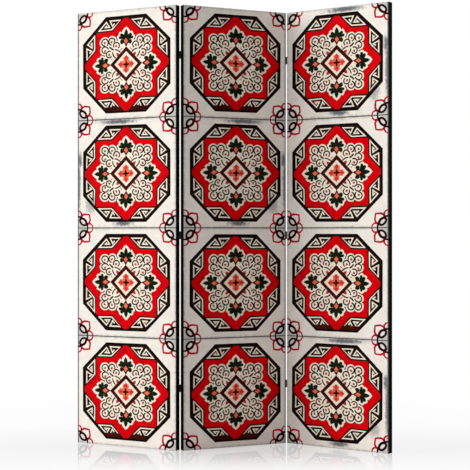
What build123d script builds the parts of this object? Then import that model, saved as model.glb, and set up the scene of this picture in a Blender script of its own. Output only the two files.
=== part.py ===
# Folding screen of three canvas panels, joined by two lines of small butt hinges.
# Millimetres, +Z up, front towards -Y, standing on the ground at Z = 0. The origin is
# the middle of the ground that the open screen covers.
from build123d import *
import os
from math import atan, degrees

# The three panels
panel_width = 450
panel_height = 1720
panel_depth = 30

# How the screen stands: the angle behind the left fold, the angle in front of the
# right fold, and the turn of the middle panel
left_fold_angle = 127
right_fold_angle = 120
middle_panel_turn = 25

# Canvas: one cloth for each panel, with its border turned round the edges
canvas_thickness = 0.6
canvas_return = 24

# Stretcher bars: a lip at the outer edge carries the canvas, and the front falls away behind it
bar_width = 40
bar_lip_width = 8
bar_front_fall = 5
bar_edge_radius = 1.5
tongue_thickness = 10

# Cross bars, tenoned into the stiles and set back from the canvas
cross_bar_width = 38
cross_bar_thickness = 16
cross_bar_back_inset = 2
cross_bar_easing = 2
tenon_length = 14
tenon_height = 26
tenon_thickness = 8
tenon_clearance = 0.15

# Staples that hold the border on the back of the bars
staple_crown = 10
staple_leg = 8
staple_wire_width = 0.9
staple_wire_thickness = 0.6
staple_line_inset = 16
staple_end_margin = 70
staples_per_stile = 11
staples_per_rail = 3

# Butt hinges, screwed on the side faces, with the pins just proud of the panel's face
hinge_height = 30
leaf_width = 12
leaf_thickness = 0.8
leaf_corner_cut = 2
bore_sides = 16
pin_diameter = 1.4
pin_clearance = 0.05
pin_standoff = 0.8
pin_proud = 0.4
knuckle_gap = 0.2
knuckle_clearance = 0.3
roll_seam = 0.2
top_hinge_from_top = 190
centre_hinge_from_floor = 831
bottom_hinge_from_floor = 238

# Countersunk screws, two in each leaf, in holes through the canvas into the stile
screw_sides = 8
screw_diameter = 2.4
screw_head_diameter = 4.2
screw_length = 12
screw_spacing = 17
screw_from_pin = 7.5
screw_clearance = 0.05

# How far a cutting shape runs past what it cuts
overcut = 1

# What follows from those sizes
half_width = panel_width / 2
half_depth = panel_depth / 2
frame_width = panel_width - 2 * canvas_thickness
frame_height = panel_height - 2 * canvas_thickness
frame_front = -half_depth + canvas_thickness
frame_back = half_depth - canvas_thickness
opening_half_width = frame_width / 2 - bar_width
canvas_bend_radius = bar_edge_radius + canvas_thickness
bore_radius = pin_diameter / 2 + pin_clearance
barrel_radius = bore_radius + leaf_thickness
knuckle_reach = barrel_radius + knuckle_clearance
knuckle_length = (hinge_height - 2 * knuckle_gap) / 3
hinge_heights = {
    "top": panel_height - top_hinge_from_top,
    "centre": centre_hinge_from_floor,
    "bottom": bottom_hinge_from_floor,
}
cross_bar_heights = {"lower": panel_height / 3, "upper": 2 * panel_height / 3}

# The fold lines that each panel shares: the side of the panel that the line is on
# (-1 left, 1 right) and the face that its pins stand on (-1 front, 1 back)
fold_lines = {
    "left": {"left": (1, 1)},
    "middle": {"left": (-1, 1), "right": (1, -1)},
    "right": {"right": (-1, -1)},
}


def slab(x_range, y_range, z_range):
    """A block between two values on each axis."""
    ranges = (x_range, y_range, z_range)
    size = [high - low for low, high in ranges]
    middle = [(high + low) / 2 for low, high in ranges]
    return Pos(*middle) * Box(*size)


def on_edge(piece, edge, inset=0):
    """Turn a piece made along the bottom edge to any edge, inset from the panel's outline."""
    places = {
        "bottom": Pos(0, 0, inset),
        "top": Pos(0, 0, panel_height - inset) * Rot(0, 180, 0),
        "left": Pos(inset - half_width, 0, panel_height / 2) * Rot(0, 90, 0),
        "right": Pos(half_width - inset, 0, panel_height / 2) * Rot(0, -90, 0),
    }
    return places[edge] * piece


def mitre_waste(length, width):
    """The two corner triangles that 45 degree mitres take off a piece on the bottom edge."""
    end = length / 2
    corners = [
        (end + overcut, -overcut),
        (end + overcut, width + overcut),
        (end - width - overcut, width + overcut),
    ]
    triangle = make_face(Polyline(*corners, close=True))
    right_end = extrude(Plane.XZ * triangle, panel_depth, both=True)
    return right_end + mirror(right_end, Plane.YZ)


def bar_profile():
    """Section of a stretcher bar: outer edge down, lip at the front, front falling away inside."""
    outline = Polyline(
        (frame_front, 0),
        (frame_back, 0),
        (frame_back, bar_width),
        (frame_front + bar_front_fall, bar_width),
        (frame_front, bar_lip_width),
        close=True,
    )
    section = make_face(outline)
    outer_front_corner = section.vertices().sort_by_distance((frame_front, 0))[0]
    return fillet(outer_front_corner, bar_edge_radius)


def stretcher_bar(length, tongued):
    """A bar with mitred ends, and in their middle third a tongue, or the slot that takes one."""
    bar = extrude(Plane.YZ * bar_profile(), length / 2, both=True)
    mitres = mitre_waste(length, bar_width)
    middle_third = (-tongue_thickness / 2, tongue_thickness / 2)
    past_width = (-overcut, bar_width + overcut)
    middle_layer = slab((-length, length), middle_third, past_width)
    if tongued:
        return bar - (mitres - middle_layer)
    shoulder = length / 2 - bar_width
    return bar - mitres - (middle_layer - slab((-shoulder, shoulder), middle_third, past_width))


def cross_bar(height):
    """A cross bar with eased front edges and a tenon at each end, centred on a height."""
    back = frame_back - cross_bar_back_inset
    depth_range = (back - cross_bar_thickness, back)
    middle_depth = sum(depth_range) / 2
    bar = slab(
        (-opening_half_width, opening_half_width),
        depth_range,
        (height - cross_bar_width / 2, height + cross_bar_width / 2),
    )
    front_edges = bar.edges().filter_by(Axis.X).group_by(Axis.Y)[0]
    return chamfer(front_edges, cross_bar_easing) + tenons(height, middle_depth, 0)


def tenons(height, middle_depth, clearance):
    """Both tenons of a cross bar as one block, or with a clearance the block that cuts mortises."""
    half_length = opening_half_width + tenon_length + clearance
    half_thickness = tenon_thickness / 2 + clearance
    half_height = tenon_height / 2 + clearance
    return slab(
        (-half_length, half_length),
        (middle_depth - half_thickness, middle_depth + half_thickness),
        (height - half_height, height + half_height),
    )


def mortises():
    """What the tenons of all the cross bars take out of the stiles."""
    middle_depth = frame_back - cross_bar_back_inset - cross_bar_thickness / 2
    return [tenons(height, middle_depth, tenon_clearance) for height in cross_bar_heights.values()]


def frame_bars(panel):
    """The wooden bars of one panel."""
    rail = stretcher_bar(frame_width, tongued=False)
    stile = stretcher_bar(frame_height, tongued=True)
    bars = {f"{edge}_rail": on_edge(rail, edge, canvas_thickness) for edge in ("bottom", "top")}
    cuts = mortises() + screw_holes(panel)
    for edge in ("left", "right"):
        bars[f"{edge}_stile"] = on_edge(stile, edge, canvas_thickness) - cuts
    for level, height in cross_bar_heights.items():
        bars[f"{level}_cross_bar"] = cross_bar(height)
    return bars


def canvas_edge(length):
    """Border of the canvas along the bottom edge: bent round the lip and turned in at the back."""
    bend_centre = -half_depth + canvas_bend_radius
    return_inside = half_depth - canvas_thickness
    outside = Polyline(
        (bend_centre, 0),
        (half_depth, 0),
        (half_depth, canvas_return),
        (return_inside, canvas_return),
        (return_inside, canvas_thickness),
        (bend_centre, canvas_thickness),
    )
    inner_bend = CenterArc((bend_centre, canvas_bend_radius), bar_edge_radius, 180, 90)
    outer_bend = CenterArc((bend_centre, canvas_bend_radius), canvas_bend_radius, 180, 90)
    front_end = Line(
        (-half_depth, canvas_bend_radius),
        (-half_depth + canvas_thickness, canvas_bend_radius),
    )
    section = make_face([outside, inner_bend, outer_bend, front_end])
    border = extrude(Plane.YZ * section, length / 2, both=True)
    return border - mitre_waste(length, canvas_return)


def canvas_pieces(panel):
    """The printed face of the canvas and its four turned borders."""
    pieces = {
        "canvas_face": slab(
            (canvas_bend_radius - half_width, half_width - canvas_bend_radius),
            (-half_depth, canvas_thickness - half_depth),
            (canvas_bend_radius, panel_height - canvas_bend_radius),
        )
    }
    for edge in ("bottom", "top"):
        pieces[f"canvas_{edge}_edge"] = on_edge(canvas_edge(panel_width), edge)
    for edge in ("left", "right"):
        border = on_edge(canvas_edge(panel_height), edge)
        pieces[f"canvas_{edge}_edge"] = border - screw_holes(panel)
    return pieces


def staple():
    """A staple along X: its crown lies on the back of the canvas, its legs point forward."""
    crown_back = half_depth + staple_wire_thickness
    leg_end = half_depth - staple_leg
    outer = staple_crown / 2
    inner = outer - staple_wire_thickness
    outline = Polyline(
        (-outer, crown_back),
        (outer, crown_back),
        (outer, leg_end),
        (inner, leg_end),
        (inner, half_depth),
        (-inner, half_depth),
        (-inner, leg_end),
        (-outer, leg_end),
        close=True,
    )
    return extrude(make_face(outline), staple_wire_width / 2, both=True)


def staple_row(length, count):
    """Staples at an even pitch along the bottom edge."""
    reach = length / 2 - staple_end_margin
    pitch = 2 * reach / (count - 1)
    return [Pos(number * pitch - reach, 0, staple_line_inset) * staple() for number in range(count)]


def staples():
    """All the staples of one panel."""
    rows = [
        on_edge(one, edge)
        for edges, length, count in (
            (("bottom", "top"), panel_width, staples_per_rail),
            (("left", "right"), panel_height, staples_per_stile),
        )
        for edge in edges
        for one in staple_row(length, count)
    ]
    return Compound(rows)


def screw(clearance=0):
    """A screw pointing up from the top of its head at Z = 0, or with a clearance its hole."""
    head_radius = screw_head_diameter / 2 + clearance
    shank_radius = screw_diameter / 2 + clearance
    head = RegularPolygon(head_radius, screw_sides, major_radius=False)
    shank = RegularPolygon(shank_radius, screw_sides, major_radius=False)
    slope = degrees(atan((head_radius - shank_radius) / leaf_thickness))
    return extrude(head, leaf_thickness, taper=slope) + extrude(shank, screw_length + clearance)


def in_leaf(piece):
    """Copies of a screw-sized piece in the two screw places of a leaf, in the hinge's frame."""
    return [
        Pos(-bore_radius, -screw_from_pin, height) * Rot(0, -90, 0) * piece
        for height in (-screw_spacing / 2, screw_spacing / 2)
    ]


def knuckle_section():
    """The end of a leaf rolled round the pin, with the seam where the roll meets the leaf."""
    strip = Pos(-(barrel_radius + bore_radius) / 2, -knuckle_reach / 2)
    strip = strip * Rectangle(leaf_thickness, knuckle_reach)
    seam_top = -bore_radius / 2
    seam_bottom = -barrel_radius - overcut
    seam = Pos(-bore_radius + roll_seam / 2, (seam_top + seam_bottom) / 2)
    seam = seam * Rectangle(roll_seam, seam_top - seam_bottom)
    bore = RegularPolygon(bore_radius, bore_sides, major_radius=False, rotation=180 / bore_sides)
    return Circle(barrel_radius) + strip - bore - seam


def hinge_leaf(knuckle_middles):
    """A leaf in the hinge's frame: pin on the Z axis, panel on the side of -X and -Y."""
    plate = slab(
        (-barrel_radius, -bore_radius),
        (-leaf_width, -knuckle_reach),
        (-hinge_height / 2, hinge_height / 2),
    )
    far_corners = plate.edges().filter_by(Axis.X).group_by(Axis.Y)[0]
    leaf = chamfer(far_corners, leaf_corner_cut)
    for middle in knuckle_middles:
        leaf += Pos(0, 0, middle) * extrude(knuckle_section(), knuckle_length / 2, both=True)
    return leaf - in_leaf(screw(screw_clearance))


def handed(piece, side, face):
    """Mirror a hinge piece made for the right side and back face of a panel to another place."""
    if side < 0:
        piece = mirror(piece, Plane.YZ)
    if face < 0:
        piece = mirror(piece, Plane.XZ)
    return piece


def pin_place(side, face, height=0):
    """Where a pin stands in a panel's frame."""
    return Pos(side * (half_width + barrel_radius), face * (half_depth + pin_standoff), height)


def at_hinges(panel, piece):
    """Copies of a hinge piece at each hinge of a panel, named by fold line and level."""
    return {
        f"{line}_{level}": pin_place(side, face, height) * handed(piece, side, face)
        for line, (side, face) in fold_lines[panel].items()
        for level, height in hinge_heights.items()
    }


def at_screws(panel, piece):
    """Copies of a screw-sized piece in every screw place of a panel."""
    return [copy for one in in_leaf(piece) for copy in at_hinges(panel, one).values()]


def screw_holes(panel):
    """What the screws of a panel take out of its canvas and its stiles."""
    return at_screws(panel, screw(screw_clearance))


def hinge_pieces(panel):
    """The leaves on a panel, and on the middle panel the pins that ride with them."""
    outer_middle = [0]
    end_middle = (hinge_height - knuckle_length) / 2
    if panel != "middle":
        leaves = at_hinges(panel, hinge_leaf(outer_middle))
        return {f"{place}_hinge_outer_leaf": leaf for place, leaf in leaves.items()}
    leaves = at_hinges(panel, hinge_leaf([-end_middle, end_middle]))
    pins = at_hinges(panel, Cylinder(pin_diameter / 2, hinge_height + 2 * pin_proud))
    pieces = {f"{place}_hinge_inner_leaf": leaf for place, leaf in leaves.items()}
    pieces.update({f"{place}_hinge_pin": pin for place, pin in pins.items()})
    return pieces


def panel_pieces(panel):
    """Every piece that moves with one panel, by name, in the panel's frame."""
    pieces = {
        **frame_bars(panel),
        **canvas_pieces(panel),
        "staples": staples(),
        "hinge_screws": Compound(at_screws(panel, screw())),
    }
    named = {f"{panel}_panel_{name}": piece for name, piece in pieces.items()}
    named.update(hinge_pieces(panel))
    return named


def panel_places():
    """Where the three panels stand, with the middle panel's foot on the origin."""
    turns = {
        "left": middle_panel_turn - (180 - left_fold_angle),
        "right": middle_panel_turn - (180 - right_fold_angle),
    }
    places = {"middle": Location(Rot(0, 0, middle_panel_turn))}
    for line, turn in turns.items():
        pin = Pos(*(places["middle"] * pin_place(*fold_lines["middle"][line])).position)
        own_pin = pin_place(*fold_lines[line][line])
        places[line] = pin * Rot(0, 0, turn) * own_pin.inverse()
    return places


def screen():
    """All nodes in the screen's frame, and where its two fold lines stand on the ground."""
    places = panel_places()
    pieces = {panel: panel_pieces(panel) for panel in places}
    nodes = {
        name: places[panel] * piece
        for panel, named in pieces.items()
        for name, piece in named.items()
    }
    ground = Compound(list(nodes.values())).bounding_box().center()
    centring = Pos(-ground.X, -ground.Y, 0)
    nodes = {name: centring * piece for name, piece in nodes.items()}
    pins = {
        line: (centring * places["middle"] * pin_place(*spot)).position
        for line, spot in fold_lines["middle"].items()
    }
    return nodes, pins


def main():
    nodes, pins = screen()
    os.makedirs("parts", exist_ok=True)
    for name, piece in nodes.items():
        export_step(piece, f"parts/{name}.step")
    for line, pin in pins.items():
        print(f"{line} fold line at X {pin.X:.3f}, Y {pin.Y:.3f}")


if __name__ == "__main__":
    main()
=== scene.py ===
import math
import random

import bmesh
import bpy
from mathutils import Matrix, Vector
from mathutils.geometry import delaunay_2d_cdt


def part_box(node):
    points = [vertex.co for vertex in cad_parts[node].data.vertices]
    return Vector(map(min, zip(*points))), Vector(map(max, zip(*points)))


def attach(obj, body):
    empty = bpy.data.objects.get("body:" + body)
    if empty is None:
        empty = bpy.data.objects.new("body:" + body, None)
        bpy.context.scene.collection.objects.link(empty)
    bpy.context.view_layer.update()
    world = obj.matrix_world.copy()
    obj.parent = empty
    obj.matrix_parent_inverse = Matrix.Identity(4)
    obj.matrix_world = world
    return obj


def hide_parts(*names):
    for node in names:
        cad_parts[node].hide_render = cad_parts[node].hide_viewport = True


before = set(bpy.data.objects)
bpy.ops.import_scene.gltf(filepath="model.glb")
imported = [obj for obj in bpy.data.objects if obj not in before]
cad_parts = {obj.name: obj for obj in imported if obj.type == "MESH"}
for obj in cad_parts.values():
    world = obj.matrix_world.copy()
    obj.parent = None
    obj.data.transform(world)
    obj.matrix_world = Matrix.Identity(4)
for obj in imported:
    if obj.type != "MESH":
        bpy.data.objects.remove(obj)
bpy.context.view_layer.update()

# The three panels as they stand. Turns are about the upright axis, in degrees.
panel = {
    "turns": {"left": -28, "middle": 25, "right": -35},
    "mirrored": {"left": 1, "middle": -1, "right": -1},
    "printShift": {"left": 0, "middle": 0, "right": 2000},  # the right panel has stains of its own
    "width": 450,
    "height": 1720,
    "depth": 30,
    "clothThickness": 0.6,
}
metre = 0.001  # the drawing of the print and the cloth are worked out in millimetres


def panelPlace(name):
    # The middle of the panel's foot, from the plate that stands for its printed cloth
    low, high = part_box(f"{name}_panel_canvas_face")
    toMiddle = (panel["depth"] - panel["clothThickness"]) / 2 * metre
    turn = Matrix.Rotation(math.radians(panel["turns"][name]), 4, "Z")
    centre = (low + high) / 2
    return Matrix.Translation((centre.x, centre.y, 0)) @ turn @ Matrix.Translation((0, toMiddle, 0))


def finishMesh(name, mesh, body):
    made = bpy.data.objects.new(name, mesh)
    bpy.context.scene.collection.objects.link(made)
    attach(made, body)
    return made


# Node helpers: one line a node, inputs by name
def addNode(tree, kind, inputs=None, **settings):
    made = tree.nodes.new(kind)
    for setting, value in settings.items():
        setattr(made, setting, value)
    for socket, value in (inputs or {}).items():
        if isinstance(value, bpy.types.NodeSocket):
            tree.links.new(value, made.inputs[socket])
        else:
            made.inputs[socket].default_value = value
    return made


def maths(tree, operation, first, second=0.0, third=None):
    inputs = {0: first, 1: second}
    if third is not None:
        inputs[2] = third
    return addNode(tree, "ShaderNodeMath", inputs, operation=operation).outputs[0]


def blendColours(tree, share, first, second):
    mixer = addNode(tree, "ShaderNodeMix", {0: share}, data_type="RGBA")
    for socket, value in ((mixer.inputs[6], first), (mixer.inputs[7], second)):
        if isinstance(value, bpy.types.NodeSocket):
            tree.links.new(value, socket)
        else:
            socket.default_value = value
    return mixer.outputs[2]


def mapRange(tree, value, low, high, newLow=0.0, newHigh=1.0):
    settings = {"Value": value, 1: low, 2: high, 3: newLow, 4: newHigh}
    return addNode(tree, "ShaderNodeMapRange", settings, interpolation_type="SMOOTHSTEP").outputs[0]


def noise(tree, vector, scale, detail=2.0, roughness=0.5, distortion=0.0):
    settings = {"Vector": vector, "Scale": scale, "Detail": detail, "Roughness": roughness}
    settings["Distortion"] = distortion
    return addNode(tree, "ShaderNodeTexNoise", settings).outputs["Fac"]


def newGroup(name, inputs, outputs):
    tree = bpy.data.node_groups.new(name, "ShaderNodeTree")
    for label, (kind, value) in inputs.items():
        socket = tree.interface.new_socket(name=label, in_out="INPUT", socket_type=f"NodeSocket{kind}")
        if value is not None:
            socket.default_value = value
    for label, kind in outputs.items():
        tree.interface.new_socket(name=label, in_out="OUTPUT", socket_type=f"NodeSocket{kind}")
    return tree, tree.nodes.new("NodeGroupInput").outputs, tree.nodes.new("NodeGroupOutput").inputs


def colour(red, green, blue):
    # A colour as a picture editor gives it, 0 to 255, as the renderer wants it
    parts = [value / 255 for value in (red, green, blue)]
    linear = [p / 12.92 if p <= 0.04045 else ((p + 0.055) / 1.055) ** 2.4 for p in parts]
    return (*linear, 1.0)


def weaveGroup():
    # Plain weave: threads across and along, each with its own small wander
    inputs = {"Vector": ("Vector", None), "Pitch": ("Float", 0.0006)}
    tree, given, out = newGroup("canvasWeave", inputs, {"Height": "Float"})
    slow = {"Vector": given["Vector"], "Scale": 90.0, "Detail": 1.0}
    wander = addNode(tree, "ShaderNodeTexNoise", slow)
    shifted = addNode(
        tree,
        "ShaderNodeVectorMath",
        {0: wander.outputs["Color"], 1: (0.0006, 0.0006, 0.0)},
        operation="MULTIPLY_ADD",
    )
    tree.links.new(given["Vector"], shifted.inputs[2])
    across = addNode(tree, "ShaderNodeSeparateXYZ", {0: shifted.outputs[0]}).outputs
    turn = maths(tree, "DIVIDE", math.pi, given["Pitch"])
    threads = [maths(tree, "SINE", maths(tree, "MULTIPLY", across[axis], turn)) for axis in (0, 1)]
    weft = maths(tree, "ABSOLUTE", threads[0])
    warp = maths(tree, "ABSOLUTE", threads[1])
    crossing = maths(tree, "MULTIPLY", threads[0], threads[1])
    over = mapRange(tree, crossing, -0.2, 0.2)
    height = addNode(tree, "ShaderNodeMix", {0: over, 2: weft, 3: warp}, data_type="FLOAT")
    tree.links.new(height.outputs[0], out["Height"])
    return tree


def inkGroup():
    # Printed ink on canvas: the tile picture's uneven glaze, its chips and crazing, and the weave below
    inputs = {
        "Vector": ("Vector", None),
        "Ink": ("Color", (1, 1, 1, 1)),
        "Worn": ("Color", (1, 1, 1, 1)),
        "Mottle": ("Float", 0.2),
        "Chips": ("Float", 0.2),
        "Craze": ("Float", 0.0),
        "Grime": ("Float", 0.0),
    }
    outputs = {"Colour": "Color", "Roughness": "Float", "Height": "Float"}
    tree, given, out = newGroup("printedInk", inputs, outputs)
    where = given["Vector"]
    cloudy = noise(tree, where, 22.0, 4.0, 0.6, 0.4)
    streaky = addNode(tree, "ShaderNodeMapping", {"Vector": where, "Scale": (1.0, 0.25, 1.0)}).outputs[0]
    brushed = noise(tree, streaky, 160.0, 3.0, 0.6)
    tone = maths(tree, "ADD", maths(tree, "MULTIPLY", cloudy, 0.7), maths(tree, "MULTIPLY", brushed, 0.3))
    shade = mapRange(tree, tone, 0.34, 0.66, -1.0, 1.0)
    depth = maths(tree, "MULTIPLY", shade, given["Mottle"])
    level = maths(tree, "ADD", depth, 1.0)
    toned = addNode(tree, "ShaderNodeVectorMath", {0: given["Ink"]}, operation="SCALE")
    tree.links.new(level, toned.inputs["Scale"])
    chipNoise = noise(tree, where, 240.0, 5.0, 0.72)
    patches = mapRange(tree, noise(tree, where, 14.0, 2.0), 0.45, 0.65)
    chipped = maths(tree, "MULTIPLY", mapRange(tree, chipNoise, 0.64, 0.7), patches)
    chipShare = maths(tree, "MULTIPLY", chipped, given["Chips"])
    worn = blendColours(tree, chipShare, toned.outputs[0], given["Worn"])
    cell = addNode(
        tree,
        "ShaderNodeTexVoronoi",
        {"Vector": where, "Scale": 70.0, "Randomness": 1.0},
        feature="DISTANCE_TO_EDGE",
    )
    craze = mapRange(tree, cell.outputs["Distance"], 0.0, 0.022, 1.0, 0.0)
    crazed = maths(tree, "MULTIPLY", maths(tree, "MULTIPLY", craze, patches), given["Craze"])
    lined = blendColours(tree, crazed, worn, colour(120, 104, 92))
    dirty = blendColours(tree, given["Grime"], lined, colour(78, 84, 92))
    tree.links.new(dirty, out["Colour"])
    rough = maths(tree, "ADD", maths(tree, "MULTIPLY", cloudy, 0.18), 0.5)
    tree.links.new(rough, out["Roughness"])
    woven = addNode(tree, "ShaderNodeGroup", {}, node_tree=groups["weave"])
    tree.links.new(where, woven.inputs["Vector"])
    tree.links.new(woven.outputs["Height"], out["Height"])
    return tree


def grimeGroup():
    # Dirt that gathers at the tiles' edges, and the few larger stains, on the cloth's own coordinates
    inputs = {"Vector": ("Vector", None)}
    tree, given, out = newGroup("tileGrime", inputs, {"Mask": "Float"})
    parts = addNode(tree, "ShaderNodeSeparateXYZ", {0: given["Vector"]}).outputs
    tileHeight = panel["height"] / printLook["rows"] * metre
    row = maths(tree, "FRACT", maths(tree, "DIVIDE", parts[1], tileHeight))
    fromMiddle = maths(tree, "ABSOLUTE", maths(tree, "SUBTRACT", row, 0.5))
    upDown = maths(tree, "MULTIPLY", maths(tree, "SUBTRACT", 0.5, fromMiddle), tileHeight)
    across = maths(tree, "WRAP", parts[0], 1.0, -1.0)
    sideways = maths(tree, "SUBTRACT", panel["width"] / 2 * metre, maths(tree, "ABSOLUTE", across))
    nearEdge = maths(tree, "MINIMUM", upDown, sideways)
    ragged = maths(tree, "MULTIPLY", noise(tree, given["Vector"], 55.0, 5.0, 0.7), 0.022)
    line = mapRange(tree, maths(tree, "SUBTRACT", nearEdge, ragged), -0.014, 0.0, 1.0, 0.0)
    fromCorner = maths(tree, "ADD", upDown, sideways)
    fromCorner = maths(tree, "SUBTRACT", fromCorner, maths(tree, "MULTIPLY", ragged, 3.0))
    corner = maths(tree, "MULTIPLY", mapRange(tree, fromCorner, -0.012, 0.036, 1.0, 0.0), 0.4)
    light = maths(tree, "MAXIMUM", maths(tree, "MULTIPLY", line, 0.5), corner)
    specks = mapRange(tree, noise(tree, given["Vector"], 120.0, 6.0, 0.75), 0.66, 0.74)
    patches = mapRange(tree, noise(tree, given["Vector"], 9.0, 2.0), 0.5, 0.68)
    scattered = maths(tree, "MULTIPLY", maths(tree, "MULTIPLY", specks, patches), 0.45)
    total = maths(tree, "MAXIMUM", light, scattered)
    torn = maths(tree, "MULTIPLY", noise(tree, given["Vector"], 75.0, 6.0, 0.75), 1.5)
    for middle in printLook["stainedTiles"]:
        for stain in printLook["stains"]:
            centre = [value + offset for value, offset in zip(middle, stain["at"])]
            place = addNode(
                tree,
                "ShaderNodeMapping",
                {
                    "Vector": given["Vector"],
                    "Location": [-value / size for value, size in zip(centre, stain["size"])] + [0],
                    "Scale": [1 / size for size in stain["size"]] + [0],
                },
            ).outputs[0]
            away = addNode(tree, "ShaderNodeVectorMath", {0: place}, operation="LENGTH").outputs["Value"]
            broken = maths(tree, "ADD", away, torn)
            spot = maths(tree, "MULTIPLY", mapRange(tree, broken, 1.0, 1.75, 1.0, 0.0), stain["strength"])
            total = maths(tree, "MAXIMUM", total, spot)
    tree.links.new(total, out["Mask"])
    return tree


def pineGroup():
    # Planed pine with its grain along Z of the given vector: bands, fine fibres and a few knots
    inputs = {"Vector": ("Vector", None)}
    inputs.update(Pale=("Color", (1, 1, 1, 1)), Late=("Color", (1, 1, 1, 1)))
    outputs = {"Colour": "Color", "Roughness": "Float", "Height": "Float"}
    tree, given, out = newGroup("pineGrain", inputs, outputs)
    where = given["Vector"]
    long = addNode(tree, "ShaderNodeMapping", {"Vector": where, "Scale": (1.0, 1.0, 0.06)}).outputs[0]
    knotPlace = addNode(tree, "ShaderNodeMapping", {"Vector": where, "Scale": (1.0, 1.0, 0.4)}).outputs[0]
    knot = addNode(tree, "ShaderNodeTexVoronoi", {"Vector": knotPlace, "Scale": 7.0}).outputs["Distance"]
    nearKnot = mapRange(tree, knot, 0.02, 0.26, 1.0, 0.0)
    knotCore = mapRange(tree, knot, 0.03, 0.075, 1.0, 0.0)
    bend = maths(tree, "MULTIPLY", nearKnot, 0.9)
    wavy = maths(tree, "ADD", maths(tree, "MULTIPLY", noise(tree, long, 34.0, 2.0), 5.0), bend)
    rings = maths(tree, "FRACT", maths(tree, "MULTIPLY", wavy, 2.6))
    band = mapRange(tree, rings, 0.45, 0.95)
    fibres = addNode(tree, "ShaderNodeMapping", {"Vector": where, "Scale": (1.0, 1.0, 0.02)}).outputs[0]
    fine = noise(tree, fibres, 900.0, 3.0, 0.7)
    share = maths(tree, "ADD", maths(tree, "MULTIPLY", band, 0.5), maths(tree, "MULTIPLY", fine, 0.35))
    wood = blendColours(tree, share, given["Pale"], given["Late"])
    knotted = blendColours(tree, maths(tree, "MULTIPLY", knotCore, 0.8), wood, colour(104, 62, 34))
    tree.links.new(knotted, out["Colour"])
    rough = maths(tree, "ADD", maths(tree, "MULTIPLY", fine, 0.2), 0.5)
    tree.links.new(rough, out["Roughness"])
    tree.links.new(maths(tree, "ADD", fine, maths(tree, "MULTIPLY", band, 0.5)), out["Height"])
    return tree


def enamelGroup():
    # Thin black enamel: orange peel and a few bare scuffs
    inputs = {"Vector": ("Vector", None)}
    inputs.update(Paint=("Color", (0, 0, 0, 1)), Bare=("Color", (1, 1, 1, 1)))
    outputs = {"Colour": "Color", "Roughness": "Float", "Height": "Float"}
    tree, given, out = newGroup("enamel", inputs, outputs)
    peel = noise(tree, given["Vector"], 1500.0, 2.0)
    scuffs = mapRange(tree, noise(tree, given["Vector"], 420.0, 6.0, 0.75), 0.66, 0.72)
    painted = blendColours(tree, maths(tree, "MULTIPLY", scuffs, 0.5), given["Paint"], given["Bare"])
    tree.links.new(painted, out["Colour"])
    tree.links.new(maths(tree, "ADD", maths(tree, "MULTIPLY", peel, 0.2), 0.28), out["Roughness"])
    tree.links.new(peel, out["Height"])
    return tree


def startMaterial(name, group, inputs, bump, vector, **shader):
    # A material whose Principled shader takes colour, roughness and height from one shared group
    made = bpy.data.materials.new(name)
    made.use_nodes = True
    tree = made.node_tree
    principled = tree.nodes["Principled BSDF"]
    for socket, value in shader.items():
        principled.inputs[socket].default_value = value
    effect = addNode(tree, "ShaderNodeGroup", {}, node_tree=group)
    tree.links.new(vector(tree), effect.inputs["Vector"])
    for socket, value in inputs.items():
        effect.inputs[socket].default_value = value
    relief = {"Height": effect.outputs["Height"], "Distance": bump, "Strength": 1.0}
    raised = addNode(tree, "ShaderNodeBump", relief)
    tree.links.new(effect.outputs["Colour"], principled.inputs["Base Color"])
    tree.links.new(effect.outputs["Roughness"], principled.inputs["Roughness"])
    tree.links.new(raised.outputs[0], principled.inputs["Normal"])
    return made, effect


def clothVector(tree):
    return addNode(tree, "ShaderNodeUVMap", uv_map="clothMetres").outputs[0]


def turnedVector(turn, lying=False):
    # Object coordinates turned so that a board's length is along Z
    def vector(tree):
        place = addNode(tree, "ShaderNodeTexCoord").outputs["Object"]
        straight = {"Vector": place, "Rotation": (0, 0, math.radians(-turn))}
        upright = addNode(tree, "ShaderNodeMapping", straight)
        if not lying:
            return upright.outputs[0]
        quarter = {"Vector": upright.outputs[0], "Rotation": (0, math.radians(90), 0)}
        return addNode(tree, "ShaderNodeMapping", quarter).outputs[0]
    return vector


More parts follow.
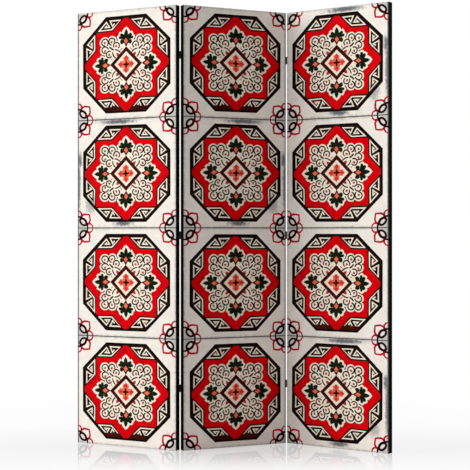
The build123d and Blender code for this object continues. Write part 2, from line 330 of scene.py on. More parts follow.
# The print: a glazed tile with an eight-pointed star, drawn on a square tile 450 across
printLook = {
    "rows": 4,
    "squash": 430 / 450,
    "wander": 1.3,
    "inks": {
        "joint": dict(ink=colour(88, 87, 82), worn=colour(190, 184, 172), mottle=0.35, chips=0.7),
        "glaze": dict(ink=colour(243, 236, 226), worn=colour(196, 186, 170), mottle=0.05, chips=0.5),
        "black": dict(ink=colour(9, 6, 5), worn=colour(60, 38, 28), mottle=0.3, chips=0.5),
        "umber": dict(ink=colour(34, 14, 6), worn=colour(110, 70, 46), mottle=0.4, chips=0.4),
        "cream": dict(ink=colour(244, 233, 214), worn=colour(200, 180, 150), mottle=0.06, chips=0.4),
        "red": dict(ink=colour(214, 0, 12), worn=colour(160, 0, 8), mottle=0.16, chips=0.5),
        "maroon": dict(ink=colour(62, 12, 5), worn=colour(128, 56, 26), mottle=0.45, chips=0.6),
        "olive": dict(ink=colour(36, 25, 10), worn=colour(110, 94, 66), mottle=0.4, chips=0.5),
        "green": dict(ink=colour(15, 30, 12), worn=colour(52, 78, 44), mottle=0.5, chips=0.7),
        "salmon": dict(ink=colour(238, 112, 84), worn=colour(222, 62, 44), mottle=0.14, chips=0.6),
        "vermilion": dict(ink=colour(228, 48, 44), worn=colour(196, 26, 26), mottle=0.16, chips=0.5),
        "rose": dict(ink=colour(176, 50, 48), worn=colour(224, 150, 136), mottle=0.25, chips=0.7),
        "crimson": dict(ink=colour(178, 14, 40), worn=colour(226, 140, 150), mottle=0.3, chips=0.8),
        "plum": dict(ink=colour(34, 5, 12), worn=colour(96, 36, 48), mottle=0.35, chips=0.6),
    },
    "paleInks": ("glaze", "cream", "joint"),  # what shows crazing and takes dirt
    "plainSides": {
        "border_black": dict(ink=colour(7, 7, 7), worn=colour(30, 29, 28), gloss=0.012),
        "raw_canvas": dict(ink=colour(206, 198, 180), worn=colour(178, 166, 142), gloss=0.25),
    },
    "bandedRows": {"left": (0, 3), "middle": (0, 3), "right": (1,)},  # tiles with a broad dark lower line
    "stainedTiles": [(0, 1.075), (2, 1.505), (2, 0.215)],  # middles of the tiles with the larger stains
    "stains": [  # from the middle of such a tile
        {"at": (-0.035, 0.205), "size": (0.115, 0.015), "strength": 0.9},
        {"at": (-0.010, -0.197), "size": (0.060, 0.016), "strength": 0.9},
        {"at": (-0.160, -0.125), "size": (0.040, 0.045), "strength": 0.5},
        {"at": (-0.214, 0.055), "size": (0.016, 0.045), "strength": 0.85},
        {"at": (-0.219, -0.040), "size": (0.013, 0.170), "strength": 0.8},
    ],
}


def curvePoints(x, y, radius, start, sweep, shrink=1.0, step=18):
    # An arc of a circle whose radius grows or shrinks evenly to its end; angles in degrees
    count = max(3, round(abs(sweep) / step))
    found = []
    for number in range(count + 1):
        share = number / count
        angle = math.radians(start + sweep * share)
        reach = radius * (1 + (shrink - 1) * share)
        found.append((x + reach * math.cos(angle), y + reach * math.sin(angle)))
    return found


def disc(x, y, radius, sides=16, tall=1.0, lean=0):
    # A round or oval spot, leaning by an angle
    turn = math.radians(lean)
    found = []
    for number in range(sides):
        angle = 2 * math.pi * number / sides
        across, up = radius * math.cos(angle), radius * tall * math.sin(angle)
        found.append((
            x + across * math.cos(turn) - up * math.sin(turn),
            y + across * math.sin(turn) + up * math.cos(turn),
        ))
    return found


def stroke(points, width, endWidth=None, roundEnds=True):
    # A line drawn with a brush: its outline, with mitred corners and round or square ends
    endWidth = width if endWidth is None else endWidth
    last = len(points) - 1
    spots = [Vector(point) for point in points]
    left, right = [], []
    for number, spot in enumerate(spots):
        half = (width + (endWidth - width) * number / last) / 2
        before = (spot - spots[number - 1]).normalized() if number else None
        after = (spots[number + 1] - spot).normalized() if number < last else None
        before, after = before or after, after or before
        along = (before + after).normalized()
        across = Vector((-along.y, along.x))
        reach = half / max(across.dot(Vector((-before.y, before.x))), 0.35)
        left.append(spot + across * reach)
        right.append(spot - across * reach)
    if not roundEnds:
        return [tuple(spot) for spot in left + right[::-1]]

    def cap(spot, start, half):
        angle = math.degrees(math.atan2(start.y - spot.y, start.x - spot.x))
        return curvePoints(*spot, half, angle, -180, step=45)[1:-1]
    front = cap(spots[-1], left[-1], endWidth / 2)
    back = cap(spots[0], right[0], width / 2)
    return [tuple(spot) for spot in left] + front + [tuple(spot) for spot in right[::-1]] + back


def leaf(x, y, length, width, lean):
    # A petal: pointed at its tip, round at its foot, growing from (x, y) along an angle
    outline = []
    for share, half in ((0.0, 0.5), (0.18, 0.86), (0.4, 1.0), (0.62, 0.86), (0.82, 0.5), (1.0, 0.0)):
        outline.append((share * length, half * width / 2))
    outline += [(along, -half) for along, half in outline[-2::-1]]
    turn = math.radians(lean)
    return [
        (x + a * math.cos(turn) - b * math.sin(turn), y + a * math.sin(turn) + b * math.cos(turn))
        for a, b in outline
    ]


def octagon(reach, corner):
    sign = ((1, 1), (-1, 1), (-1, -1), (1, -1))
    found = []
    for number, (h, v) in enumerate(sign):
        pair = [(h * reach, v * corner), (h * corner, v * reach)]
        found += pair if number % 2 == 0 else pair[::-1]
    return found


def starOutline(grow=0.0):
    # A square with a blunt arm on each side, reaching the middle of the octagon's sides
    side, tip, notch, blunt = 137 + grow, 190 + grow, 62 + grow * 0.414, 10 + grow * 0.414
    found = []
    for turn in range(4):
        for point in ((tip, -blunt), (tip, blunt), (side, notch), (side, side), (notch, side)):
            x, y = point
            for _ in range(turn):
                x, y = -y, x
            found.append((x, y))
    return found


def mirrored(shapes, ways):
    # Copies of shapes in the other parts of the tile: "four" quarters, or "eight" with the diagonals
    made = []
    for ink, outline in shapes:
        for h in (1, -1):
            for v in (1, -1):
                made.append((ink, [(h * x, v * y) for x, y in outline]))
                if ways == "eight":
                    made.append((ink, [(h * y, v * x) for x, y in outline]))
    return made


def turned(shapes):
    # Copies of shapes drawn for the top arm, turned to all four arms
    made = []
    for ink, outline in shapes:
        made.append((ink, outline))
        made.append((ink, [(-x, -y) for x, y in outline]))
        made.append((ink, [(y, -x) for x, y in outline]))
        made.append((ink, [(-y, x) for x, y in outline]))
    return made


def bothSides(shapes):
    return shapes + [(ink, [(-x, y) for x, y in outline]) for ink, outline in shapes]


def starField(banded):
    shapes = [("black", octagon(200, 92)), ("umber", octagon(191.5, 88.5))]
    meander = [(53.5, 171), (62, 159.5), (73, 182), (24, 182.2), (66.5, 145.4), (124, 145.4)]
    meander += [(90, 178), (76, 157.5), (95.5, 157.5), (88.5, 165)]
    shapes += mirrored([("cream", stroke(meander, 5.0, roundEnds=False))], "eight")
    if banded:
        shapes.append(("maroon", [(-88.5, -191.5), (88.5, -191.5), (98, -174), (-98, -174)]))
    return shapes + [("umber", starOutline(5.6)), ("red", starOutline())]


scrolls = {  # centre, radius, first angle, sweep, radius at the end as a share, and the dot inside
    "corner": (97, 94, 16.5, 226, -314, 0.8, (97, 93)),
    "upper": (63, 97, 16, -72, 268, 0.72, (65, 94)),
    "side": (97, 62, 16, 162, -268, 0.72, (96, 59)),
    "upperInner": (43, 77, 14.5, -20, 250, 0.82, (45, 75)),
    "sideInner": (77, 42, 14.5, 110, -250, 0.82, (77, 41)),
}


def medallionGround():
    # Cream ground of the medallion: a lobe round each scroll and a scalloped point on each arm
    lobes = [
        ("cream", disc(x, y, radius * (1 + shrink) / 2 + 8.4, 28))
        for x, y, radius, _, _, shrink, _ in scrolls.values()
    ]
    lobes.append(("cream", [(0, 0), (104, 52), (92, 92), (52, 104)]))
    lobes.append(("cream", [(0, 0), (126, 0), (0, 126)]))
    point = [
        ("cream", leaf(0, 112, 44, 40, 90)),
        ("cream", disc(0, 124, 19, 22)),
        ("cream", disc(0, 104, 30, 24)),
    ]
    shoulders = [
        ("cream", disc(20, 123, 14, 20)),
        ("cream", disc(29, 109, 13.5, 20)),
        ("cream", disc(24, 92, 15, 20)),
    ]
    return mirrored(lobes, "four") + turned(point + bothSides(shoulders))


def scrollWork():
    shapes = []
    for x, y, radius, start, sweep, shrink, dot in scrolls.values():
        shapes.append(("rose", disc(*dot, 4.6, 10, 1.25, 35)))
        shapes.append(("olive", stroke(curvePoints(x, y, radius, start, sweep, shrink), 5.8, 5.4)))
    shapes.append(("olive", stroke([(60, 61), (68, 66.5), (74, 73)], 7.4, 6.4)))
    shapes.append(("rose", leaf(30, 32, 22, 14, 45)))
    shapes.append(("olive", stroke([(27, 50), (35, 56), (43, 60), (50, 61)], 5.4)))
    shapes.append(("olive", stroke([(50, 28), (56, 34), (60, 41), (62, 49)], 5.4)))
    shapes.append(("rose", stroke([(19, 66), (24, 61), (28, 56)], 3.6, 2.4)))
    shapes.append(("rose", stroke([(64, 21), (68, 24)], 3.8, 2.8)))
    shapes.append(("maroon", stroke([(38, 99), (42, 106), (46, 115)], 5.2, 2.6)))
    shapes.append(("maroon", stroke([(99, 38), (106, 42), (115, 46)], 5.2, 2.6)))
    shapes.append(("maroon", disc(114, 77, 3.2, 8)))
    shapes.append(("maroon", disc(79, 114, 3.2, 8)))
    shapes.append(("maroon", disc(20.5, 137, 3, 8)))
    shapes.append(("maroon", disc(137, 20.5, 3, 8)))
    return mirrored(shapes, "four")


def florets():
    petals = [
        ("green", leaf(7, 112, 22, 14, 40)),
        ("green", leaf(10, 107, 22, 13, 8)),
        ("green", leaf(7, 100, 25, 15, -42)),
        ("green", disc(20, 121, 7.4, 14)),
        ("green", disc(28, 110, 6.2, 12)),
        ("green", disc(20, 92, 7.6, 14, 1.3)),
    ]
    middle = [
        ("green", disc(0, 108, 14, 18)),
        ("green", leaf(0, 112, 34, 18, 90)),
        ("maroon", [(0, 70), (14, 95), (0, 116), (-14, 95)]),
        ("salmon", [(0, 82), (9.5, 96), (0, 108), (-9.5, 96)]),
    ]
    return turned(bothSides(petals) + middle)


def centreFlower():
    shapes = []
    for reach, ink in ((73, "maroon"), (53, "cream")):
        shapes.append((ink, [(reach, 0), (0, reach), (-reach, 0), (0, -reach)]))
    petal = [
        ("salmon", leaf(0, 0, 38, 27, 90)),
        ("salmon", disc(8, 24, 6.2, 12)),
        ("salmon", disc(-8, 24, 6.2, 12)),
        ("salmon", disc(0, 9, 13, 16)),
        ("vermilion", leaf(0, 17, 18, 15, 90)),
    ]
    star = [("maroon", leaf(0, 0, 17, 9, 90)), ("maroon", disc(0, 0, 5, 12))]
    return shapes + turned(petal) + turned(star)


def rosettes():
    # A quarter of a flower in each corner of the tile, joined to a thin crown-shaped line
    frond = [
        ("crimson", stroke([(169, 169), (181, 167.5), (193, 166.5), (203, 171), (209, 180)], 7, 9.4)),
        ("crimson", stroke([(208, 178), (206.5, 165), (213, 156.5), (223, 153)], 8, 5.4)),
        ("plum", stroke([(206, 184), (213, 179), (223, 177)], 10.5, 7)),
        ("plum", disc(208, 185, 9, 12, 0.8, 20)),
    ]
    other = [(ink, [(y, x) for x, y in outline]) for ink, outline in frond]
    ring = [
        ("plum", disc(199, 199, 22.5, 22, 0.72, -45)),
        ("glaze", disc(199.5, 199.5, 12.5, 18, 0.5, -45)),
    ]
    return mirrored(frond + other + ring, "four")


def tileShapes(banded):
    left, right, level = -219.5, 223.5, 222.9
    ground = [("glaze", [(left, -level), (right, -level), (right, level), (left, level)])]
    drawn = ground + rosettes() + starField(banded) + medallionGround()
    return drawn + scrollWork() + florets() + centreFlower()


def handDrawn(outline, seed):
    # The same small drift for all points of one tile, so that what touches still touches
    pick = random.Random(seed)
    phases = [pick.uniform(0, 2 * math.pi) for _ in range(6)]
    shift = (pick.uniform(-1.5, 1.5), pick.uniform(-1.2, 1.2))
    moved = []
    for x, y in outline:
        fine = [math.sin((x + y) / 11 + phases[2]), math.sin((x - y) / 12 + phases[5])]
        drift = [
            math.sin(x / 31 + phases[0]) + math.sin(y / 23 + phases[1]) + 0.6 * fine[0],
            math.sin(y / 29 + phases[3]) + math.sin(x / 21 + phases[4]) + 0.6 * fine[1],
        ]
        calm = min(1.0, max(0.0, (222 - max(abs(x), abs(y))) / 30))  # nothing drifts at the tile's edge
        moved.append(tuple(
            value + calm * (printLook["wander"] * bend / 2 + away)
            for value, bend, away in zip((x, y), drift, shift)
        ))
    return moved


# The cloth: one piece, printed on the front and black where it turns round the frame
regions = {"left": 4, "right": 5, "bottom": 6, "top": 7, "inside": 9}  # 0 to 3 are the rows of tiles
bakeMap = {  # shares of the square bake map
    "tile": 0.46,
    "rowStep": 0.44,
    "insideStart": 0.93,
    "insideWidth": 0.07,
    "stripLength": 0.92,
    "stripStart": 0.886,
    "stripStep": 0.027,
    "stripWidth": 0.022,
    "border": 62,  # millimetres of border round the front that the strips have room for
    "spare": 60,
}
cloth = {
    "bendRadius": 2.1,
    "bendSteps": 5,
    "printedSteps": 3,  # the picture runs this far round the bend, and black follows
    "backBend": 1.4,
    "return": 24,
    "thickness": 0.55,
}


def inkedFront(name):
    # The front as flat pieces of ink: the topmost shape at each place gives the ink
    inset = cloth["bendRadius"]
    halfWidth = panel["width"] / 2 - inset
    tileHeight = panel["height"] / printLook["rows"]
    corners, faces, owners = [], [], []

    def add(row, ink, outline):
        # An outline is filled on its left, so one that runs the other way is turned round
        following = outline[1:] + outline[:1]
        if sum(x * nextY - nextX * y for (x, y), (nextX, nextY) in zip(outline, following)) < 0:
            outline = outline[::-1]
        faces.append(list(range(len(corners), len(corners) + len(outline))))
        corners.extend(Vector(point) for point in outline)
        owners.append((row, ink))

    for row in range(printLook["rows"]):
        low = max(row * tileHeight, inset)
        high = min((row + 1) * tileHeight, panel["height"] - inset)
        add(row, "joint", [(-halfWidth, low), (halfWidth, low), (halfWidth, high), (-halfWidth, high)])
    flip = panel["mirrored"][name]
    for row in range(printLook["rows"]):
        middle = (row + 0.5) * tileHeight
        for ink, outline in tileShapes(row in printLook["bandedRows"][name]):
            drawn = handDrawn(outline, f"{row} of {name}")
            add(row, ink, [(flip * x, middle + y * printLook["squash"]) for x, y in drawn])
    places, _, pieces, _, _, covers = delaunay_2d_cdt(corners, [], faces, 1, 1e-4)
    inked = []
    for piece, over in zip(pieces, covers):
        rows = [number for number in over if number < printLook["rows"]]
        if rows:
            row = rows[0]
            top = max(number for number in over if owners[number][0] == row)
            inked.append((piece, row, owners[top][1]))
    return places, inked


def bakeSpot(kind, x, z):
    # A point of the cloth on the square bake map: the four tiles two by two, the rest in strips
    border, spare, halfWidth = bakeMap["border"], bakeMap["spare"], panel["width"] / 2
    if kind < printLook["rows"]:
        share = bakeMap["tile"] / panel["width"]
        up = z - kind * panel["height"] / printLook["rows"]
        column, row = kind % 2 * bakeMap["tile"], kind // 2 * bakeMap["rowStep"]
        return column + (x + halfWidth) * share, row + up * share
    if kind == regions["inside"]:
        across = (x + halfWidth + border + 3) / (panel["width"] + 2 * border + 6)
        up = (z + border) / (panel["height"] + 2 * border)
        return bakeMap["insideStart"] + across * bakeMap["insideWidth"], up
    if kind in (regions["left"], regions["right"]):
        along, out, length = z, abs(x) - halfWidth, panel["height"]
    else:
        along, length = x + halfWidth, panel["width"]
        out = -z if kind == regions["bottom"] else z - panel["height"]
    strip = bakeMap["stripStart"] + (kind - regions["left"]) * bakeMap["stripStep"]
    share = (along + spare) / (length + 2 * spare)
    return bakeMap["stripLength"] * share, strip + (out + 3) / border * bakeMap["stripWidth"]


def clothRings():
    # How far each ring of the border lies outside the front's edge, behind its face, and along the cloth
    bend, steps = cloth["bendRadius"], cloth["bendSteps"]
    rings = []
    for number in range(1, steps + 1):
        angle = math.pi / 2 * number / steps
        rings.append((bend * math.sin(angle), bend * (1 - math.cos(angle)), bend * angle))
    small, depth = cloth["backBend"], panel["depth"]
    side = rings[-1][2] + depth - bend - small
    rings.append((bend, depth - small, side))
    for number in (1, 2):
        angle = math.pi / 2 * number / 2
        back = depth - small * (1 - math.sin(angle))
        rings.append((bend - small * (1 - math.cos(angle)), back, side + small * angle))
    reach = cloth["return"] - small
    rings.append((bend - small - reach, depth, rings[-1][2] + reach))
    return rings


def clothMesh(name, materials):
    places, inked = inkedFront(name)
    names = list(printLook["inks"])
    black, raw = len(names), len(names) + 1
    made = bmesh.new()
    home = [made.verts.layers.float.new(layer) for layer in ("homeX", "homeZ", "alongX", "alongZ")]
    region = made.faces.layers.int.new("region")
    front = -panel["depth"] / 2
    used = sorted({corner for piece, _, _ in inked for corner in piece})
    spots = {}
    for number in used:
        x, z = places[number]
        spot = made.verts.new((x, front, z))
        spot[home[0]], spot[home[1]], spot[home[2]], spot[home[3]] = x, z, x, z
        spots[number] = spot
    for piece, row, ink in inked:
        face = made.faces.new([spots[number] for number in piece])
        face.material_index = names.index(ink)
        face[region] = row
    inset = cloth["bendRadius"]
    edgeX, lowZ, highZ = panel["width"] / 2 - inset, inset, panel["height"] - inset
    backRings = (cloth["bendSteps"] + 1, cloth["bendSteps"] + 2)
    rim = [edge for edge in made.edges if edge.is_boundary]
    for number, (out, back, along) in enumerate(clothRings()):
        grown = bmesh.ops.extrude_edge_only(made, edges=rim)["geom"]
        for spot in (part for part in grown if isinstance(part, bmesh.types.BMVert)):
            x, z = spot[home[0]], spot[home[1]]
            sideX = (x > edgeX - 0.01) - (x < 0.01 - edgeX)
            sideZ = (z > highZ - 0.01) - (z < lowZ + 0.01)
            spot.co = (x + sideX * out, front + back, z + sideZ * out)
            spot[home[2]], spot[home[3]] = x + sideX * along, z + sideZ * along
        for face in (part for part in grown if isinstance(part, bmesh.types.BMFace)):
            middle = face.calc_center_median()
            beside = abs(middle.x) - panel["width"] / 2
            below = max(-middle.z, middle.z - panel["height"])
            if beside > below:
                face[region] = regions["left" if middle.x < 0 else "right"]
            else:
                face[region] = regions["bottom" if middle.z < panel["height"] / 2 else "top"]
            if number >= cloth["printedSteps"]:
                face.material_index = black
            face.smooth = number < cloth["bendSteps"] or number in backRings
        rim = [part for part in grown if isinstance(part, bmesh.types.BMEdge) and part.is_boundary]
    bmesh.ops.recalc_face_normals(made, faces=made.faces)
    face = min(made.faces, key=lambda one: one.calc_center_median().y)
    if face.normal.y > 0:
        bmesh.ops.reverse_faces(made, faces=made.faces)
    outside = set(made.faces)
    bmesh.ops.solidify(made, geom=made.faces[:], thickness=cloth["thickness"])
    for face in made.faces:
        if face not in outside:
            face.material_index = raw
            face[region] = regions["inside"]
    wall = cloth["thickness"]
    halfWidth = panel["width"] / 2 - wall
    inside = ((-halfWidth, halfWidth), (front + wall, -front - wall), (wall, panel["height"] - wall))
    for spot in made.verts:
        if not outside.intersection(spot.link_faces):
            # The inner side stays inside, also where three folds meet
            spot.co = [min(max(value, low), high) for value, (low, high) in zip(spot.co, inside)]
    metres = made.loops.layers.uv.new("clothMetres")
    baked = made.loops.layers.uv.new("OFBake")
    for face in made.faces:
        for loop in face.loops:
            x, z = loop.vert[home[2]], loop.vert[home[3]]
            across = panel["mirrored"][name] * x + panel["printShift"][name]
            loop[metres].uv = (across * metre, z * metre)
            loop[baked].uv = bakeSpot(face[region], x, z)
    made.transform(Matrix.Diagonal((metre, metre, metre, 1)))
    made.transform(panelPlace(name))
    mesh = bpy.data.meshes.new(f"{name}_canvas")
    made.to_mesh(mesh)
    made.free()
    for material in materials:
        mesh.materials.append(material)
    return mesh


def clothMaterials():
    found = []
    for name, look in printLook["inks"].items():
        inputs = {"Ink": look["ink"], "Worn": look["worn"]}
        inputs.update(Mottle=look["mottle"], Chips=look["chips"])
        inputs["Craze"] = 0.22 if name in printLook["paleInks"] else 0.07
        made, effect = startMaterial(f"{name}_ink", groups["ink"], inputs, 0.00006, clothVector)
        made.node_tree.nodes["Principled BSDF"].inputs["Specular IOR Level"].default_value = 0.015
        if name in printLook["paleInks"]:
            tree = made.node_tree
            dirt = addNode(tree, "ShaderNodeGroup", {}, node_tree=groups["grime"])
            tree.links.new(clothVector(tree), dirt.inputs["Vector"])
            tree.links.new(dirt.outputs["Mask"], effect.inputs["Grime"])
        found.append(made)
    for name, look in printLook["plainSides"].items():
        inputs = {"Ink": look["ink"], "Worn": look["worn"], "Mottle": 0.12, "Chips": 0.3}
        made, _ = startMaterial(name, groups["ink"], inputs, 0.0001, clothVector)
        made.node_tree.nodes["Principled BSDF"].inputs["Specular IOR Level"].default_value = look["gloss"]
        found.append(made)
    return found


def dressPanels():
    materials = clothMaterials()
    for name in panel["turns"]:
        mesh = clothMesh(name, materials)
        sheet = finishMesh(f"{name}_canvas", mesh, f"{name}_panel")
        parts = ("face", "left_edge", "right_edge", "top_edge", "bottom_edge")
        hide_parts(*[f"{name}_panel_canvas_{part}" for part in parts])
        print(f"{name} canvas: {len(mesh.polygons)} faces")


# Countersunk screws with a cross recess, in place of the model's plain ones
screws = {
    "headRadius": 2.1,
    "headDepth": 0.75,
    "shankRadius": 1.2,
    "length": 12,
    "sides": 24,
    "crossReach": 1.3,
    "crossHalfWidth": 0.28,
    "crossDepth": 0.5,
    "crossTaper": 0.6,
    "pointLength": 2,
    "tipRadius": 0.15,
}


def screwBoxes(node, inPanel):
    # The lowest and highest corners of each plain screw, in its panel's own frame
    loose = bmesh.new()
    loose.from_mesh(node.data)
    bmesh.ops.transform(loose, matrix=inPanel, verts=loose.verts)
    bmesh.ops.remove_doubles(loose, verts=loose.verts, dist=1e-6)
    loose.verts.index_update()
    seen, boxes = set(), []
    for start in loose.verts:
        if start.index in seen:
            continue
        seen.add(start.index)
        waiting, corners = [start], []
        while waiting:
            spot = waiting.pop()
            corners.append(spot.co.copy())
            for edge in spot.link_edges:
                other = edge.other_vert(spot)
                if other.index not in seen:
                    seen.add(other.index)
                    waiting.append(other)
        ends = [[pick(corner[axis] for corner in corners) for axis in range(3)] for pick in (min, max)]
        boxes.append([Vector(end) for end in ends])
    loose.free()
    return boxes


def addScrew(made, place):
    # One screw pointing down from the flat of its head at Z = 0, then moved to its place
    known = set(made.verts)
    rim = bmesh.ops.create_circle(made, segments=screws["sides"], radius=screws["headRadius"])["verts"]
    rimEdges = list({edge for spot in rim for edge in spot.link_edges})
    reach, half = screws["crossReach"], screws["crossHalfWidth"]
    outline = []
    for quarter in range(4):
        turn = Matrix.Rotation(math.pi / 2 * quarter, 3, "Z")
        arm = ((reach, -half, 0), (reach, half, 0), (half, half, 0))
        outline += [turn @ Vector(corner) for corner in arm]
    cross = [made.verts.new(corner) for corner in outline]
    crossEdges = [made.edges.new(pair) for pair in zip(cross, cross[1:] + cross[:1])]
    bmesh.ops.triangle_fill(made, use_beauty=True, edges=rimEdges + crossEdges)
    recess = made.faces.new(cross)
    taper = screws["crossTaper"]
    for spot in bmesh.ops.extrude_discrete_faces(made, faces=[recess])["faces"][0].verts:
        spot.co = (spot.co.x * taper, spot.co.y * taper, -screws["crossDepth"])
    ends = rimEdges
    for radius, depth in (
        (screws["shankRadius"], screws["headDepth"]),
        (screws["shankRadius"], screws["length"] - screws["pointLength"]),
        (screws["tipRadius"], screws["length"]),
    ):
        grown = bmesh.ops.extrude_edge_only(made, edges=ends)["geom"]
        for spot in (part for part in grown if isinstance(part, bmesh.types.BMVert)):
            spot.co = (*(spot.co.xy.normalized() * radius), -depth)
        for face in (part for part in grown if isinstance(part, bmesh.types.BMFace)):
            face.smooth = True
        ends = [part for part in grown if isinstance(part, bmesh.types.BMEdge) and part.is_boundary]
    bmesh.ops.contextual_create(made, geom=ends)
    bmesh.ops.transform(made, matrix=place, verts=[spot for spot in made.verts if spot not in known])


def driveScrews(enamel):
    for name in panel["turns"]:
        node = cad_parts[f"{name}_panel_hinge_screws"]
        place = panelPlace(name)
        made = bmesh.new()
        for low, high in screwBoxes(node, place.inverted()):
            side = 1 if low.x > 0 else -1
            middle = (low + high) / 2
            head = Vector((high.x if side > 0 else low.x, middle.y, middle.z))
            turn = Matrix.Rotation(math.radians(90 * side), 4, "Y")
            addScrew(made, place @ Matrix.Translation(head) @ turn @ Matrix.Scale(metre, 4))
        bmesh.ops.recalc_face_normals(made, faces=made.faces)
        mesh = bpy.data.meshes.new(f"{name}_screws")
        made.to_mesh(mesh)
        made.free()
        mesh.materials.append(enamel)
        screwSet = finishMesh(f"{name}_screws", mesh, f"{name}_panel")
        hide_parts(f"{name}_panel_hinge_screws")
        print(f"{name} screws: {len(mesh.polygons)} faces")


# Wood, hinges and staples keep their CAD shape and get their finishes here
finishes = {
    "pale": colour(226, 190, 138),
    "late": colour(186, 138, 84),
    "paint": colour(20, 20, 21),
    "bare": colour(120, 116, 110),
    "steel": colour(168, 168, 166),
    "dull": colour(120, 118, 112),
}


def finishNodes():
    wood = {}
    for name, turn in panel["turns"].items():
        for lying in (False, True):
            inputs = {"Pale": finishes["pale"], "Late": finishes["late"]}
            vector = turnedVector(turn, lying)
            label = f"{name}_pine_{'rails' if lying else 'stiles'}"
            wood[name, lying], _ = startMaterial(label, groups["pine"], inputs, 0.00012, vector)
    plain = turnedVector(0)
    inputs = {"Paint": finishes["paint"], "Bare": finishes["bare"]}
    enamel, _ = startMaterial("black_enamel", groups["enamel"], inputs, 0.00002, plain)
    inputs = {"Paint": finishes["steel"], "Bare": finishes["dull"]}
    steel, _ = startMaterial("staple_steel", groups["enamel"], inputs, 0.00001, plain, Metallic=1.0)
    for name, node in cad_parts.items():
        side = name.split("_")[0]
        if "hinge" in name:
            chosen = enamel
        elif name.endswith("staples"):
            chosen = steel
        elif name.endswith("stile"):
            chosen = wood[side, False]
        elif name.endswith(("rail", "cross_bar")):
            chosen = wood[side, True]
        else:
            continue
        node.data.materials.clear()
        node.data.materials.append(chosen)
    return enamel


# Floor, light and camera
studio = {
    "lens": 100,
    "sensor": 36,
    "cameraAt": (-0.160, -5.118, 0.832),
    "shiftAcross": 0.0951,
    "floorSize": 30,
    "ambient": 0.43,
    "keyAt": (-13.8, -2.0, 4.34),
    "keySize": 8.8,
    "keyPower": 1825,
    "floorWhite": 0.93,  # share of plain white near the screen, where the shadow shows through the rest
    "mirror": 0.45,  # share of the reflection at the screen's foot
    "mirrorEnds": 0.6,
    "mirrorStretch": 0.2,  # the reflection is longer across than it is deep
    "mirrorRoughness": 0.02,
    "paleFrom": 0.6,  # metres from the middle where the floor begins to turn plain white
    "paleTo": 2.2,
    "grey": 243,
    "roughness": 0.9,
    "aimHeight": 0.86,
}


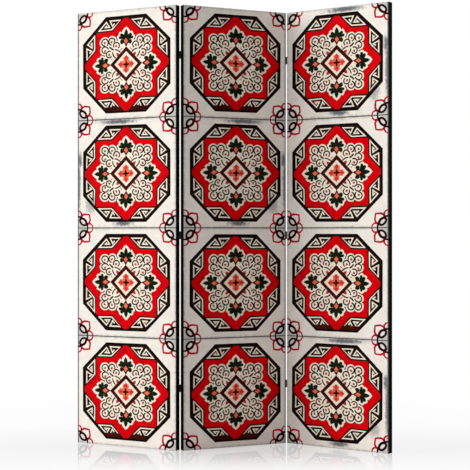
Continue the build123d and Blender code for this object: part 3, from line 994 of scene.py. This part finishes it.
def stageFloor():
    made = bmesh.new()
    bmesh.ops.create_grid(made, x_segments=2, y_segments=2, size=studio["floorSize"] / 2)
    mesh = bpy.data.meshes.new("floor")
    made.to_mesh(mesh)
    made.free()
    floor = bpy.data.objects.new("floor", mesh)
    bpy.context.scene.collection.objects.link(floor)
    material = bpy.data.materials.new("white_floor")
    material.use_nodes = True
    tree = material.node_tree
    principled = tree.nodes["Principled BSDF"]
    principled.inputs["Base Color"].default_value = colour(*[studio["grey"]] * 3)
    principled.inputs["Roughness"].default_value = studio["roughness"]
    principled.inputs["Specular IOR Level"].default_value = 0.0
    place = addNode(tree, "ShaderNodeTexCoord").outputs["Object"]
    away = addNode(tree, "ShaderNodeVectorMath", {0: place}, operation="LENGTH").outputs["Value"]
    seen = addNode(tree, "ShaderNodeLightPath").outputs["Is Camera Ray"]
    white = addNode(tree, "ShaderNodeEmission", {"Color": (1, 1, 1, 1), "Strength": 1.0}).outputs[0]
    paler = mapRange(tree, away, studio["paleFrom"], studio["paleTo"], studio["floorWhite"], 1.0)
    share = maths(tree, "MULTIPLY", paler, seen)
    pale = addNode(tree, "ShaderNodeMixShader", {0: share, 1: principled.outputs[0], 2: white}).outputs[0]
    gloss = addNode(tree, "ShaderNodeBsdfGlossy", {"Roughness": studio["mirrorRoughness"]}).outputs[0]
    stretch = (studio["mirrorStretch"], 1.0, 1.0)
    along = addNode(tree, "ShaderNodeMapping", {"Vector": place, "Scale": stretch}).outputs[0]
    ahead = addNode(tree, "ShaderNodeVectorMath", {0: along}, operation="LENGTH").outputs["Value"]
    faded = mapRange(tree, ahead, 0.02, studio["mirrorEnds"], studio["mirror"], 0.02)
    mirror = maths(tree, "MULTIPLY", faded, seen)
    shiny = addNode(tree, "ShaderNodeMixShader", {0: mirror, 1: pale, 2: gloss}).outputs[0]
    tree.links.new(shiny, tree.nodes["Material Output"].inputs["Surface"])
    mesh.materials.append(material)


def lightStudio():
    world = bpy.data.worlds.new("studio")
    bpy.context.scene.world = world
    world.use_nodes = True
    tree = world.node_tree
    path = addNode(tree, "ShaderNodeLightPath").outputs
    seen = maths(tree, "MAXIMUM", path["Is Camera Ray"], path["Is Glossy Ray"])
    seen = maths(tree, "MAXIMUM", seen, path["Is Transmission Ray"])
    soft, white = [
        addNode(tree, "ShaderNodeBackground", {"Color": (1, 1, 1, 1), "Strength": strength}).outputs[0]
        for strength in (studio["ambient"], 1.0)
    ]
    mixed = addNode(tree, "ShaderNodeMixShader", {0: seen, 1: soft, 2: white}).outputs[0]
    tree.links.new(mixed, tree.nodes["World Output"].inputs["Surface"])
    lamp = bpy.data.lights.new("key", "AREA")
    lamp.shape = "DISK"
    lamp.size = studio["keySize"]
    lamp.energy = studio["keyPower"]
    key = bpy.data.objects.new("key", lamp)
    key.location = studio["keyAt"]
    aim = Vector((0, 0, studio["aimHeight"])) - key.location
    key.rotation_euler = aim.to_track_quat("-Z", "Y").to_euler()
    bpy.context.scene.collection.objects.link(key)


def placeCamera():
    lens = bpy.data.cameras.new("camera")
    lens.lens = studio["lens"]
    lens.sensor_width = studio["sensor"]
    lens.shift_x = studio["shiftAcross"]
    camera = bpy.data.objects.new("camera", lens)
    camera.location = studio["cameraAt"]
    camera.rotation_euler = (math.radians(90), 0, 0)
    bpy.context.scene.collection.objects.link(camera)
    bpy.context.scene.camera = camera
    bpy.context.scene.view_settings.view_transform = "Standard"


groups = {"weave": weaveGroup()}
groups["ink"] = inkGroup()
groups["grime"] = grimeGroup()
groups["pine"] = pineGroup()
groups["enamel"] = enamelGroup()
print("shader groups made")
placeCamera()
lightStudio()
stageFloor()
print("studio set")
dressPanels()
driveScrews(finishNodes())
print("finishes set")
